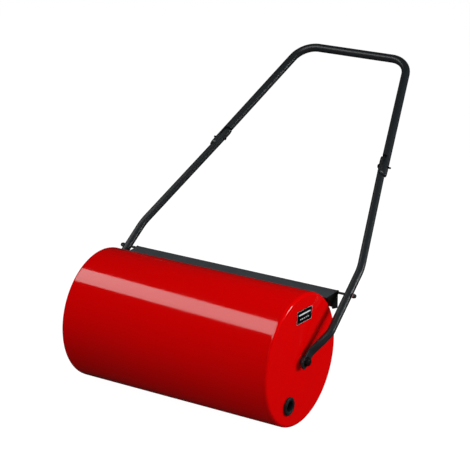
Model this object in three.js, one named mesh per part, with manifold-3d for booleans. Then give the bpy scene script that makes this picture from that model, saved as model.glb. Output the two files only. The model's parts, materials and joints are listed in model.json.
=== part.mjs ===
// Lawn roller: a water-filled steel drum with a scraper and a two-part folding push bar.
// Millimetres, +Z up. The drum's axle lies along X; the push bar leans back towards +Y.
// The origin is on the ground, under the middle of the drum.
import * as THREE from "three";
import { mergeVertices } from "three/addons/utils/BufferGeometryUtils.js";
import Module from "manifold-3d";

const wasm = await Module();
wasm.setup();

// ---- driving dimensions ----------------------------------------------------------------
const GAP = 0.3; // clearance between pieces that touch or slide
const DRILL = 60; // length of a drill or a block that goes right through a tube

const DRUM_RADIUS = 160; // to the flats of the faceted roll
const DRUM_WIDTH = 570;
const DRUM_FACETS = 64;
const SHEET = 1.5; // steel sheet of the drum and the scraper
const RIM_RADIUS = 8; // rounded edge of each end disc
const LAP = 14; // how far an end disc reaches inside the shell

const BAR_TILT = THREE.MathUtils.degToRad(34.3); // lean of the push bar above the level
const LOWER_TUBE = { diameter: 20, wall: 1.5 };
const UPPER_TUBE = { diameter: 22, wall: 1.5 };
const TUBE_SIDES = 12;

// Push bar, laid out in its own plane: x across the roller, r from the axle along the bar.
const AXLE_EYE = { x: 296, tip: -20, thickness: 5, flatTo: 22, roundFrom: 66 };
const LOWER_BENDS = {
  foot: [296, 26],
  footRadius: 40,
  shoulder: [318.6, 88],
  shoulderRadius: 45,
  knee: [312.5, 278],
  kneeRadius: 150,
};
const LOWER_SLOPE = -0.257; // sideways run of the lower tube past the knee, per length along r
const UPPER_SLOPE = -0.2426;
const JOINT = { r: 582, face: 237.6, lowerTip: 612, upperTip: 553, past: 4, ramp: 9, access: 5.5 };
const GRIP = { r: 927.7, halfWidth: 155.5, bendRadius: 60 };

const AXLE_BOLT = { diameter: 10, head: 16, headHeight: 6.3 };
const AXLE_WASHER = { diameter: 24, thickness: 1.6 };
const HUB = { diameter: 26, flange: 50, flangeThickness: 3, depth: 28, floor: 4, proud: 1 };
const BUSH = { shoulder: 22, neck: 14.4 };
const M5 = { diameter: 5, flats: 8, nutHeight: 4, hole: 5.6 };
const M6 = { diameter: 6, flats: 10, nutHeight: 5.2, hole: 6.6, clip: 12 };
const DOME = { radius: 6, height: 2.2 }; // head of the joint bolt
const THREAD_PROUD = 10; // joint bolt's thread left standing outside the handle
const ROD_CAP_SIZE = { radius: 5, height: 4.4 };

const SCRAPER = { rodR: 199.5, rod: 6, deep: 46, bladeGap: 1.2, clip: 1.8, lip: 0.8, heel: 6 };
const FILLER = { y: -60, z: 68, hole: 33, collar: 42, depth: 17 };
const BUNG = { diameter: 46, height: 6.2, cup: 27, depth: 26, lipPitch: 7 };
const LABEL = { width: 69, height: 32, thickness: 0.6, y: 9.5, z: 269, turn: -4 };

const HALF = DRUM_WIDTH / 2;
const AXLE_Z = DRUM_RADIUS;
const VERTEX_RADIUS = 1 / Math.cos(Math.PI / DRUM_FACETS); // corner radius of a unit facet ring

// ---- materials -------------------------------------------------------------------------
const finish = (color, roughness, metalness) => ({ color, roughness, metalness });
const RED_PAINT = finish("#cc0004", 0.12, 0);
const BLACK_COAT = finish("#24272a", 0.4, 0);
const BLACK_STEEL = finish("#1d1f21", 0.45, 0.8);
const ZINC = finish("#c9ccce", 0.35, 1);
const NYLON = finish("#2b2b2d", 0.6, 0);
const RUBBER = finish("#1a1a1b", 0.8, 0);
const LABEL_FILM = finish("#151516", 0.35, 0);

// ---- solids ----------------------------------------------------------------------------

// A closed geometry as a manifold solid: only positions are kept, and equal ones are merged.
function solid(geometry) {
  const bare = geometry.clone();
  bare.deleteAttribute("normal");
  bare.deleteAttribute("uv");
  const merged = mergeVertices(bare, 1e-4);
  return new wasm.Manifold(
    new wasm.Mesh({
      numProp: 3,
      vertProperties: new Float32Array(merged.attributes.position.array),
      triVerts: new Uint32Array(merged.index.array),
    }),
  );
}

// A manifold solid as a three.js geometry.
function geometryOf(body) {
  const mesh = body.getMesh();
  return new THREE.BufferGeometry()
    .setAttribute("position", new THREE.BufferAttribute(mesh.vertProperties, 3))
    .setIndex(new THREE.BufferAttribute(mesh.triVerts, 1));
}

const cut = (geometry, ...tools) =>
  geometryOf(tools.reduce((body, tool) => body.subtract(solid(tool)), solid(geometry)));
const join = (first, ...others) =>
  geometryOf(others.reduce((body, other) => body.add(solid(other)), solid(first)));

// Turns a profile of [x, radius] points, listed anticlockwise, about the X axis.
function turned(profile, sides) {
  const points = profile.map(([x, radius]) => new THREE.Vector2(radius, x));
  points.push(points[0].clone());
  return new THREE.LatheGeometry(points, sides, Math.PI / sides).rotateZ(-Math.PI / 2);
}

// A straight cylinder along X, from x0 to x1, round the point (y, z). Six sides make a hexagon.
function barX(x0, x1, radius, sides, y = 0, z = 0) {
  return new THREE.CylinderGeometry(radius, radius, x1 - x0, sides)
    .rotateZ(-Math.PI / 2)
    .translate((x0 + x1) / 2, y, z);
}

const hexX = (x0, x1, flats) => barX(x0, x1, flats / Math.sqrt(3), 6);

// A flat ring about the X axis, from x0 to x1.
function ringX(x0, x1, outer, inner, sides) {
  return turned([[x0, inner / 2], [x0, outer / 2], [x1, outer / 2], [x1, inner / 2]], sides);
}

// A plate with its outline in (y, z), spanning x0 to x1.
function plateX(outline, x0, x1, hole) {
  const shape = new THREE.Shape(outline.map(([y, z]) => new THREE.Vector2(y, z)));
  if (hole) shape.holes.push(new THREE.Path().absarc(hole.y, hole.z, hole.radius, 0, 2 * Math.PI));
  const plate = new THREE.ExtrudeGeometry(shape, { depth: x1 - x0, bevelEnabled: false, curveSegments: 8 });
  const turn = new THREE.Matrix4().set(0, 0, 1, x0, 1, 0, 0, 0, 0, 1, 0, 0, 0, 0, 0, 1);
  return plate.applyMatrix4(turn);
}

// ---- tubes bent in the plane of the push bar -------------------------------------------

// Points along a polyline whose corners are rounded: one point about every 15 degrees of bend.
function bentPath(corners) {
  const path = [corners[0].at];
  for (let i = 1; i + 1 < corners.length; i += 1) {
    const at = corners[i].at;
    const back = corners[i - 1].at.clone().sub(at).normalize();
    const ahead = corners[i + 1].at.clone().sub(at).normalize();
    const half = Math.acos(back.dot(ahead)) / 2;
    const reach = corners[i].radius / Math.sin(half);
    const tangent = corners[i].radius / Math.tan(half);
    const centre = back.clone().add(ahead).normalize().multiplyScalar(reach).add(at);
    const from = back.multiplyScalar(tangent).add(at).sub(centre);
    const to = ahead.multiplyScalar(tangent).add(at).sub(centre);
    const turn = Math.atan2(from.cross(to), from.dot(to));
    const steps = Math.max(2, Math.ceil(Math.abs(THREE.MathUtils.radToDeg(turn)) / 15));
    for (let k = 0; k <= steps; k += 1)
      path.push(from.clone().rotateAround(new THREE.Vector2(), (turn * k) / steps).add(centre));
  }
  path.push(corners.at(-1).at);
  return path;
}

// The same path with a point added wherever it crosses one of the lines r = cut.
function withStations(path, cuts) {
  const out = [path[0]];
  for (let i = 1; i < path.length; i += 1) {
    const [a, b] = [path[i - 1], path[i]];
    const inside = cuts
      .map((r) => (r - a.y) / (b.y - a.y))
      .filter((t) => t > 0.001 && t < 0.999)
      .sort((s, t) => s - t);
    out.push(...inside.map((t) => a.clone().lerp(b, t)), b);
  }
  return out;
}

// A solid bar along a path in the plane. Its section is a circle pressed to a rounded slot:
// half is half its thickness in the plane, wide half its width across it. Both lose the inset.
function swept(path, section, inset) {
  const positions = [];
  path.forEach((point, i) => {
    const ahead = path[Math.min(i + 1, path.length - 1)];
    const behind = path[Math.max(i - 1, 0)];
    const arriving = point.clone().sub(behind).normalize();
    const along = ahead.clone().sub(point).normalize().add(arriving).normalize();
    const { half, wide } = section(point);
    const edge = Math.min(half, wide);
    for (let k = 0; k < TUBE_SIDES; k += 1) {
      const angle = (2 * Math.PI * (k + 0.5)) / TUBE_SIDES;
      const reach = (half - inset) * Math.cos(angle);
      const rise = (edge - inset) * Math.sin(angle) + (wide - edge) * Math.sign(Math.sin(angle));
      positions.push(point.x + along.y * reach, point.y - along.x * reach, rise);
    }
  });
  const index = [];
  const last = (path.length - 1) * TUBE_SIDES;
  for (let k = 0; k < TUBE_SIDES; k += 1) {
    const next = (k + 1) % TUBE_SIDES;
    for (let i = 0; i < last; i += TUBE_SIDES) {
      index.push(i + k, i + TUBE_SIDES + k, i + TUBE_SIDES + next);
      index.push(i + k, i + TUBE_SIDES + next, i + next);
    }
    if (k > 0 && k + 1 < TUBE_SIDES) index.push(0, k, k + 1, last, last + k + 1, last + k);
  }
  return new THREE.BufferGeometry()
    .setAttribute("position", new THREE.Float32BufferAttribute(positions, 3))
    .setIndex(index);
}

// A tube along a path: the bore runs a little past both ends. The lap block, where there is one,
// is taken off the tube, and the bore keeps a wall's distance from it.
function tube(path, size, section, laps) {
  const past = (tip, next) => tip.clone().sub(next).setLength(1).add(tip);
  const through = [past(path[0], path[1]), ...path, past(path.at(-1), path.at(-2))];
  const bore = cut(swept(through, section, size.wall), ...laps.map((lap) => lap(size.wall)));
  return cut(swept(path, section, 0), ...laps.map((lap) => lap(0)), bore);
}

// A block right through the plane, with its outline in (x, r).
function blockThrough(outline) {
  const shape = new THREE.Shape(outline.map(([x, r]) => new THREE.Vector2(x, r)));
  const settings = { depth: DRILL, bevelEnabled: false };
  return new THREE.ExtrudeGeometry(shape, settings).translate(0, 0, -DRILL / 2);
}

const { lerp, smoothstep } = THREE.MathUtils;

// Half width of a tube of this diameter once it is pressed to a given half thickness.
const pressedWidth = (diameter, half) => half + (Math.PI * (diameter - 2 * half)) / 4;

// Half width left where a tip is rounded off: a circle of radius wide, cut short at the tip.
const TIP_SHARE = 0.45; // width left at the very end, as a share of the tube's
function tipWidth(wide, fromTip) {
  const inside = Math.max(0, wide - fromTip);
  return Math.sqrt(Math.max(wide * wide - inside * inside, (TIP_SHARE * wide) ** 2));
}

// A drill along X for a hole round the point (x, r) of the push bar.
const drill = (x, r, radius, sides = 12) => barX(x - DRILL / 2, x + DRILL / 2, radius, sides, r);

// Centre lines of the straight runs that meet at the joint.
const lowerXAt = (r) => LOWER_BENDS.knee[0] + LOWER_SLOPE * (r - LOWER_BENDS.knee[1]);
const upperXAt = (r) => GRIP.halfWidth + UPPER_SLOPE * (r - GRIP.r);
const ROD_TUBE_X = 315.4; // the bent part of the lower tube, where the scraper rod goes through

function lowerTubeGeometry() {
  const { diameter } = LOWER_TUBE;
  const radius = diameter / 2;
  const corner = ([x, r], bend) => ({ at: new THREE.Vector2(x, r), radius: bend });
  const tip = [lowerXAt(JOINT.lowerTip), JOINT.lowerTip];
  const path = bentPath([
    corner([AXLE_EYE.x, AXLE_EYE.tip], 0),
    corner(LOWER_BENDS.foot, LOWER_BENDS.footRadius),
    corner(LOWER_BENDS.shoulder, LOWER_BENDS.shoulderRadius),
    corner(LOWER_BENDS.knee, LOWER_BENDS.kneeRadius),
    corner(tip, 0),
  ]);
  const flatFrom = JOINT.upperTip - JOINT.past;
  // Stations: round the eye, down the swage and round the tip.
  const cuts = [-18, -14, -7, 10, AXLE_EYE.flatTo, 40, 52, AXLE_EYE.roundFrom];
  cuts.push(...[8, 4, 1].map((step) => JOINT.lowerTip - step));
  const section = ({ y: r }) => {
    const pressed = 1 - smoothstep(r, AXLE_EYE.flatTo, AXLE_EYE.roundFrom);
    const half = lerp(radius, AXLE_EYE.thickness / 2, pressed);
    const wide = pressedWidth(diameter, half);
    const ends = [r - AXLE_EYE.tip, JOINT.lowerTip - r];
    return { half, wide: Math.min(...ends.map((fromTip) => tipWidth(wide, fromTip))) };
  };
  // What lies outboard of the joint's face is pressed away, square to the joint bolt.
  const lap = (inset) => {
    const face = JOINT.face - GAP / 2 - inset;
    const start = flatFrom - inset;
    const clear = lowerXAt(start) + diameter;
    return blockThrough([
      [face, start],
      [clear, start - JOINT.ramp],
      [clear, JOINT.lowerTip + diameter],
      [face, JOINT.lowerTip + diameter],
    ]);
  };
  const bent = tube(withStations(path, cuts), LOWER_TUBE, section, [lap]);
  return cut(
    bent,
    drill(AXLE_EYE.x, 0, BUSH.neck / 2 + GAP, 24),
    drill(ROD_TUBE_X, SCRAPER.rodR, M6.hole / 2),
    drill(JOINT.face, JOINT.r, M5.hole / 2),
  );
}

function upperHandleGeometry() {
  const { diameter } = UPPER_TUBE;
  const radius = diameter / 2;
  const corner = (x, r, bend) => ({ at: new THREE.Vector2(x, r), radius: bend });
  const path = bentPath([
    corner(upperXAt(JOINT.upperTip), JOINT.upperTip, 0),
    corner(GRIP.halfWidth, GRIP.r, GRIP.bendRadius),
    corner(-GRIP.halfWidth, GRIP.r, GRIP.bendRadius),
    corner(-upperXAt(JOINT.upperTip), JOINT.upperTip, 0),
  ]);
  const flatTo = JOINT.lowerTip + JOINT.past;
  const cuts = [1, 4, 9].map((step) => JOINT.upperTip + step);
  const section = ({ y: r }) => ({ half: radius, wide: tipWidth(radius, r - JOINT.upperTip) });
  // What lies inboard of the joint's face is pressed away, square to the joint bolt.
  const lap = (sign) => (inset) => {
    const face = JOINT.face + GAP / 2 + inset;
    const end = flatTo + inset;
    const clear = upperXAt(end) - diameter;
    const outline = [
      [face, end],
      [clear, end + JOINT.ramp],
      [clear, JOINT.upperTip - diameter],
      [face, JOINT.upperTip - diameter],
    ];
    return blockThrough(outline.map(([x, r]) => [sign * x, r]));
  };
  const bent = tube(withStations(path, cuts), UPPER_TUBE, section, [lap(1), lap(-1)]);
  // At each side the bolt's hole, and a wider one through the outer wall that lets the nut in.
  const outer = JOINT.face + UPPER_TUBE.wall + M5.nutHeight + DRILL / 2;
  const holes = [1, -1].flatMap((sign) => [
    drill(sign * JOINT.face, JOINT.r, M5.hole / 2),
    drill(sign * outer, JOINT.r, JOINT.access, 16),
  ]);
  return cut(bent, ...holes);
}

// ---- drum ------------------------------------------------------------------------------

const onDrum = (radius) => radius * VERTEX_RADIUS;

function drumShellGeometry() {
  const edge = HALF - RIM_RADIUS;
  const [outer, inner] = [onDrum(DRUM_RADIUS), onDrum(DRUM_RADIUS - SHEET)];
  return turned([[-edge, inner], [-edge, outer], [edge, outer], [edge, inner]], DRUM_FACETS);
}

// The right-hand end disc: a flat face, a rounded rim and a skirt stepped in under the shell.
function endDiscGeometry(fillerHole) {
  const rim = (radius, steps) =>
    Array.from({ length: steps + 1 }, (_, k) => {
      const angle = (Math.PI / 2) * (k / steps);
      const x = HALF - RIM_RADIUS + radius * Math.cos(angle);
      return [x, onDrum(DRUM_RADIUS - RIM_RADIUS + radius * Math.sin(angle))];
    });
  const hole = HUB.diameter / 2 + GAP;
  const skirt = DRUM_RADIUS - SHEET - GAP;
  const skirtEnd = HALF - RIM_RADIUS - LAP;
  const outside = rim(RIM_RADIUS, 4).map(([x, r]) => [Math.max(x, HALF - RIM_RADIUS + GAP), r]);
  const inside = rim(RIM_RADIUS - 2 * SHEET - GAP, 3).reverse();
  const profile = [
    [HALF, hole],
    [HALF - SHEET, hole],
    [HALF - SHEET, onDrum(DRUM_RADIUS - RIM_RADIUS - SHEET)],
    ...inside.slice(0, -1),
    [skirtEnd, onDrum(skirt - SHEET)],
    [skirtEnd, onDrum(skirt)],
    [HALF - RIM_RADIUS + GAP, onDrum(skirt)],
    ...outside.reverse(),
  ];
  const disc = turned(profile, DRUM_FACETS);
  if (!fillerHole) return disc;
  return cut(disc, barX(HALF - 20, HALF + 5, FILLER.hole / 2, 32, FILLER.y, FILLER.z - AXLE_Z));
}

const HUB_END = HALF + HUB.proud;

function axleHubGeometry() {
  const inner = HALF - SHEET - GAP;
  const behind = inner - HUB.flangeThickness;
  const back = HUB_END - HUB.depth;
  const bore = AXLE_BOLT.diameter / 2 + GAP;
  return turned(
    [
      [back, 0],
      [back, HUB.diameter / 2],
      [behind, HUB.diameter / 2],
      [behind, HUB.flange / 2],
      [inner, HUB.flange / 2],
      [inner, HUB.diameter / 2],
      [HUB_END, HUB.diameter / 2],
      [HUB_END, bore],
      [back + HUB.floor, bore],
      [back + HUB.floor, 0],
    ],
    24,
  );
}

// Places along the axle bolt, from the hub outwards.
const EYE = { inner: AXLE_EYE.x - AXLE_EYE.thickness / 2, outer: AXLE_EYE.x + AXLE_EYE.thickness / 2 };
const WASHER_X = EYE.outer + GAP;
const HEAD_X = WASHER_X + AXLE_WASHER.thickness + GAP;

function axleBoltGeometry() {
  const tip = HUB_END - HUB.depth + HUB.floor + GAP;
  const shank = barX(tip, HEAD_X + 1, AXLE_BOLT.diameter / 2, 16);
  return join(hexX(HEAD_X, HEAD_X + AXLE_BOLT.headHeight, AXLE_BOLT.head), shank);
}

function pivotBushGeometry() {
  const start = HUB_END + GAP;
  const bore = AXLE_BOLT.diameter / 2 + GAP;
  return turned(
    [
      [start, bore],
      [start, BUSH.shoulder / 2],
      [EYE.inner - GAP, BUSH.shoulder / 2],
      [EYE.inner - GAP, BUSH.neck / 2],
      [EYE.outer, BUSH.neck / 2],
      [EYE.outer, bore],
    ],
    24,
  );
}

const axleWasherGeometry = () => {
  const bore = AXLE_BOLT.diameter + 2 * GAP;
  return ringX(WASHER_X, WASHER_X + AXLE_WASHER.thickness, AXLE_WASHER.diameter, bore, 24);
};

const fillerCollarGeometry = () =>
  ringX(HALF - FILLER.depth, HALF - SHEET - GAP, FILLER.collar, FILLER.hole, 32);

// A rubber bung: a flange over the hole, a hollow cup and two sealing lips behind the disc.
function fillerBungGeometry() {
  const seat = HALF + GAP;
  const face = seat + BUNG.height;
  const tip = HALF - BUNG.depth;
  const floor = tip + 6;
  const shank = FILLER.hole / 2 - 1.2;
  const crest = FILLER.hole / 2 - GAP;
  const lips = [2, 1].map((k) => seat - k * BUNG.lipPitch + 1);
  return turned(
    [
      [tip, 0],
      [tip, shank - 2],
      [tip + 4, shank],
      ...lips.flatMap((x) => [[x - 2, shank], [x, crest], [x + 2, shank]]),
      [seat, shank],
      [seat, BUNG.diameter / 2],
      [face - 2, BUNG.diameter / 2],
      [face, BUNG.diameter / 2 - 2.5],
      [face, BUNG.cup / 2 + 1],
      [face - 1, BUNG.cup / 2],
      [floor, BUNG.cup / 2 - 1.5],
      [floor, 0],
    ],
    32,
  );
}

const labelGeometry = () =>
  new THREE.BoxGeometry(LABEL.thickness, LABEL.width, LABEL.height)
    .rotateX(THREE.MathUtils.degToRad(LABEL.turn));

// ---- joint and scraper fasteners -------------------------------------------------------

// The joint bolt's head bears on the sloping lower tube, as far in as the tube comes under the
// head's rim. Its nut is inside the handle's tube, against the pressed wall.
const SEAT_LIFT = 0.7;
const JOINT_INNER = lowerXAt(JOINT.r + DOME.radius) - LOWER_TUBE.diameter / 2 - SEAT_LIFT;
const JOINT_NUT = JOINT.face + GAP / 2 + UPPER_TUBE.wall + GAP;

function jointBoltGeometry() {
  const end = upperXAt(JOINT.r) + UPPER_TUBE.diameter / 2 + THREAD_PROUD;
  const rim = 0.8;
  const head = turned(
    [
      [JOINT_INNER - DOME.height, 0],
      [JOINT_INNER - 0.87 * DOME.height, 0.5 * DOME.radius],
      [JOINT_INNER - 0.53 * DOME.height, 0.83 * DOME.radius],
      [JOINT_INNER, DOME.radius],
      [JOINT_INNER + rim, DOME.radius],
      [JOINT_INNER + rim, 0],
    ],
    16,
  );
  return join(head, barX(JOINT_INNER, end, M5.diameter / 2, 12));
}

// A hexagon nut along X with its thread hole; from is its face towards the middle of the roller.
function nutGeometry(size, from) {
  const to = from + size.nutHeight;
  return cut(hexX(from, to, size.flats), barX(from - 1, to + 1, size.diameter / 2 + GAP, 12));
}

const rodClipGeometry = () => ringX(HALF + GAP, HALF + GAP + SCRAPER.clip, M6.clip, M6.hole, 16);

// Places along the scraper rod outside the tube.
const ROD_NUT = ROD_TUBE_X + LOWER_TUBE.diameter / 2 + 0.7;
const ROD_CAP = ROD_NUT + M6.nutHeight + GAP;
const ROD_END = ROD_CAP + 2.6;

const rodPoint = new THREE.Vector2(Math.cos(BAR_TILT), Math.sin(BAR_TILT)).multiplyScalar(SCRAPER.rodR);

// The scraper: an angle of bent sheet with a gusset folded down at each end. Its front edge is
// the blade. Outlines are in (y, z) from the axle.
function scraperGeometry() {
  const top = rodPoint.y + SCRAPER.rod / 2 + GAP + SHEET;
  const rear = rodPoint.x + SCRAPER.rod / 2 + GAP + SHEET;
  const bladeRadius = onDrum(DRUM_RADIUS) + SCRAPER.bladeGap;
  const reach = (z, radius) => Math.sqrt(radius * radius - z * z);
  const bottom = top - SCRAPER.deep;
  const angle = [
    [reach(top - SHEET, bladeRadius), top - SHEET],
    [rear - SHEET, top - SHEET],
    [rear - SHEET, bottom],
    [rear, bottom],
    [rear, top],
    [reach(top - SHEET, bladeRadius) + SCRAPER.lip, top],
  ];
  const clear = bladeRadius + 3;
  const steps = 5;
  const heel = bottom + SCRAPER.heel;
  const curve = Array.from({ length: steps + 1 }, (_, k) => lerp(top - SHEET / 2, heel, k / steps));
  const gusset = [[rear - SHEET / 2, top - SHEET / 2], ...curve.map((z) => [reach(z, clear), z])];
  gusset.push([rear - SHEET / 2, bottom + 0.5]);
  const hole = { y: rodPoint.x, z: rodPoint.y, radius: M6.hole / 2 };
  return join(
    plateX(angle, -HALF, HALF),
    plateX(gusset, HALF - SHEET, HALF, hole),
    plateX(gusset, -HALF, SHEET - HALF, hole),
  );
}

const scraperRodGeometry = () => barX(-ROD_END, ROD_END, SCRAPER.rod / 2, 16);

const rodCapGeometry = () =>
  turned(
    [
      [ROD_CAP + ROD_CAP_SIZE.height, 0],
      [ROD_CAP + 0.95 * ROD_CAP_SIZE.height, 0.52 * ROD_CAP_SIZE.radius],
      [ROD_CAP + 0.73 * ROD_CAP_SIZE.height, 0.92 * ROD_CAP_SIZE.radius],
      [ROD_CAP, ROD_CAP_SIZE.radius],
      [ROD_CAP, SCRAPER.rod / 2 + GAP],
      [ROD_END + GAP, SCRAPER.rod / 2 + GAP],
      [ROD_END + GAP, 0],
    ].reverse(),
    16,
  );

// ---- assembly --------------------------------------------------------------------------

const roller = new THREE.Group();

// The axle line, and the plane of the push bar that swings about it.
const axle = new THREE.Group();
axle.position.set(0, 0, AXLE_Z);
const bar = new THREE.Group();
bar.rotation.x = BAR_TILT;
axle.add(bar);
roller.add(axle);

// Half groups: what hangs in the left one is the mirror image of the right one.
function sides(parent) {
  const right = new THREE.Group();
  const left = new THREE.Group();
  left.scale.x = -1;
  parent.add(right, left);
  return { right, left };
}

function add(parent, name, geometry, look) {
  const mesh = new THREE.Mesh(geometry, new THREE.MeshStandardMaterial(look));
  mesh.name = name;
  parent.add(mesh);
  return mesh;
}

add(axle, "drum_shell", drumShellGeometry(), RED_PAINT);
add(axle, "scraper_blade", scraperGeometry(), BLACK_COAT);
add(bar, "upper_handle", upperHandleGeometry(), BLACK_COAT);
add(bar, "scraper_rod", scraperRodGeometry(), BLACK_STEEL).position.y = SCRAPER.rodR;

for (const [side, group] of Object.entries(sides(axle))) {
  add(group, `end_disc_${side}`, endDiscGeometry(side === "right"), RED_PAINT);
  add(group, `axle_hub_${side}`, axleHubGeometry(), RED_PAINT);
}
for (const [side, group] of Object.entries(sides(bar))) {
  add(group, `lower_tube_${side}`, lowerTubeGeometry(), BLACK_COAT);
  add(group, `pivot_bush_${side}`, pivotBushGeometry(), NYLON);
  add(group, `axle_washer_${side}`, axleWasherGeometry(), BLACK_STEEL);
  add(group, `axle_bolt_${side}`, axleBoltGeometry(), BLACK_STEEL);
  const joint = new THREE.Group();
  joint.position.y = JOINT.r;
  const rod = new THREE.Group();
  rod.position.y = SCRAPER.rodR;
  group.add(joint, rod);
  add(joint, `joint_bolt_${side}`, jointBoltGeometry(), BLACK_STEEL);
  add(joint, `joint_nut_${side}`, nutGeometry(M5, JOINT_NUT), BLACK_STEEL);
  add(rod, `rod_clip_${side}`, rodClipGeometry(), BLACK_STEEL);
  add(rod, `rod_nut_${side}`, nutGeometry(M6, ROD_NUT), ZINC);
  add(rod, `rod_cap_${side}`, rodCapGeometry(), NYLON);
}

const filler = new THREE.Group();
filler.position.set(0, FILLER.y, FILLER.z - AXLE_Z);
axle.add(filler);
add(filler, "filler_collar", fillerCollarGeometry(), BLACK_STEEL);
add(filler, "filler_bung", fillerBungGeometry(), RUBBER);

const label = add(axle, "label_plate", labelGeometry(), LABEL_FILM);
label.position.set(HALF + GAP + LABEL.thickness / 2, LABEL.y, LABEL.z - AXLE_Z);

export default roller;
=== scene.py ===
"""Lawn roller: fine surfaces, finishes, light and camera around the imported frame.

Everything is in metres and in the frame's own axes: X along the drum's axle, Y back towards
the push bar, Z up. A piece's object stays at the origin and its place is in its mesh.
"""

import json
import logging
import math
from dataclasses import dataclass, replace
from enum import Enum
from typing import ClassVar

import bmesh
import bpy
import numpy as np
from mathutils import Matrix, Vector


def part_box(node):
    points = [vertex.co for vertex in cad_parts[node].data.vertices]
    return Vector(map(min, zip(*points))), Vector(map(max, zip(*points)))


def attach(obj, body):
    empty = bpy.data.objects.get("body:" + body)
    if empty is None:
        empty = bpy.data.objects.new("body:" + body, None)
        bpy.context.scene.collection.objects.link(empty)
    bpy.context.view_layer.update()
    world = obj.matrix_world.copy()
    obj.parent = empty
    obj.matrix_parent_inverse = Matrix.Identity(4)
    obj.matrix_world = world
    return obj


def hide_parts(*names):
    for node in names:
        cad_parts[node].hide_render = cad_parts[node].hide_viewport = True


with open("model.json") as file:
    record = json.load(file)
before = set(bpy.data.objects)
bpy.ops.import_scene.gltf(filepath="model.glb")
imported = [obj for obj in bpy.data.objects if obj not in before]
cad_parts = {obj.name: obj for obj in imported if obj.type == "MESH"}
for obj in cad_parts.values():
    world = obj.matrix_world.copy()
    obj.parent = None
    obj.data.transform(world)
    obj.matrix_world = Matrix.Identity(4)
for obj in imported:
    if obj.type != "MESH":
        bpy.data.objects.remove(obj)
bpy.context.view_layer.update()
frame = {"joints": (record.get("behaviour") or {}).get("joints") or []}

log = logging.getLogger("lawn_roller")

Array = np.ndarray
Socket = bpy.types.NodeSocket
MM = 0.001
WELD = 1e-6  # points nearer than this are one point
TINY = 1e-12  # keeps a division by a length of nothing harmless
TIP_STEPS = 14  # points on the shrinking steps at a path's tip
CREASE = math.radians(32.0)  # faces that meet at more than this keep a crisp edge


# ---- curves and grids ------------------------------------------------------------------


def unit(vectors: Array) -> Array:
    """Divides each vector of the last axis by its length."""
    length = np.linalg.norm(vectors, axis=-1, keepdims=True)
    return vectors / np.maximum(length, TINY)


def smoothstep(values: Array, low: float, high: float) -> Array:
    """Rises from 0 to 1 between low and high as 3t^2 - 2t^3."""
    share = np.clip((values - low) / (high - low), 0.0, 1.0)
    return share * share * (3.0 - 2.0 * share)


def dome(distance: Array, length: float) -> Array:
    """Opens from 0 at a tip to 1 at a length from it, along a quarter of a circle."""
    short = 1.0 - np.clip(distance / length, 0.0, 1.0)
    return np.sqrt(1.0 - short * short)


def rounded(corners: Array, fillets: Array, closed: bool = True, steps: int = 6) -> Array:
    """Replaces each corner of a polyline by an arc.

    The arc's centre lies on the line that halves the corner, at the radius over the sine of
    half its angle. Between the two touching points the arc is the blend of their two radii,
    weighted by sines, which keeps every point at the same distance from the centre.

    Args:
        corners: The corner points, one a row.
        fillets: The radius at each corner; 0 keeps the corner sharp.
        closed: Whether the last corner joins the first. An open line keeps its ends sharp.
        steps: Faces along each arc.

    Returns:
        The points of the rounded line, one a row.
    """
    radius = np.asarray(fillets, dtype=float).copy()
    if not closed:
        radius[[0, -1]] = 0.0
    back = unit(np.roll(corners, 1, axis=0) - corners)
    ahead = unit(np.roll(corners, -1, axis=0) - corners)
    half = np.arccos(np.clip(np.sum(back * ahead, axis=1), -1.0, 1.0)) / 2.0
    half = np.clip(half, 0.01, math.pi / 2.0 - 1e-4)[:, None]
    radius = radius[:, None]
    centre = corners + unit(back + ahead) * radius / np.sin(half)
    first = corners + back * radius / np.tan(half) - centre
    last = corners + ahead * radius / np.tan(half) - centre
    turn = (math.pi - 2.0 * half)[:, None]
    share = np.linspace(0.0, 1.0, steps + 1)[None, :, None]
    arcs = np.sin((1.0 - share) * turn) * first[:, None] + np.sin(share * turn) * last[:, None]
    return (centre[:, None] + arcs / np.sin(turn)).reshape(-1, corners.shape[1])


def resampled(path: Array, spacing: float, tips: float = 0.0) -> Array:
    """Adds points along a polyline, by straight interpolation on its running length.

    Args:
        path: The points, one a row.
        spacing: The longest step wanted.
        tips: Length at each end that gets steps which shrink towards the tip, as the steps
            of a quarter circle do.

    Returns:
        The old points and the new ones in order.
    """
    steps = np.linalg.norm(np.diff(path, axis=0), axis=1)
    length = np.concatenate([[0.0], np.cumsum(steps)])
    inner = np.arange(spacing, length[-1], spacing)
    ends = tips * (1.0 - np.cos(np.linspace(0.0, math.pi / 2.0, TIP_STEPS)))
    places = np.concatenate([length, inner, ends, length[-1] - ends])
    places = np.unique(np.round(places, 7))
    return np.stack([np.interp(places, length, column) for column in path.T], axis=1)


def refined(path: Array, low: float, high: float, spacing: float = 0.5 * MM) -> Array:
    """Adds close points to a path in a plane wherever its second coordinate is between two values."""
    run = np.concatenate([[0.0], np.cumsum(np.linalg.norm(np.diff(path, axis=0), axis=1))])
    near = (path[:, 1] > low) & (path[:, 1] < high)
    extra = np.concatenate([np.arange(start, end, spacing) for start, end in spells(near, run)])
    places = np.unique(np.round(np.concatenate([run, extra]), 7))
    return np.stack([np.interp(places, run, column) for column in path.T], axis=1)


def spells(flags: Array, run: Array) -> list[tuple[float, float]]:
    """Gives the running length at which each unbroken spell of true flags begins and ends."""
    edges = np.flatnonzero(np.diff(np.concatenate([[False], flags, [False]]).astype(int)))
    return [(run[a], run[b - 1]) for a, b in zip(edges[::2], edges[1::2])]


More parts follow.
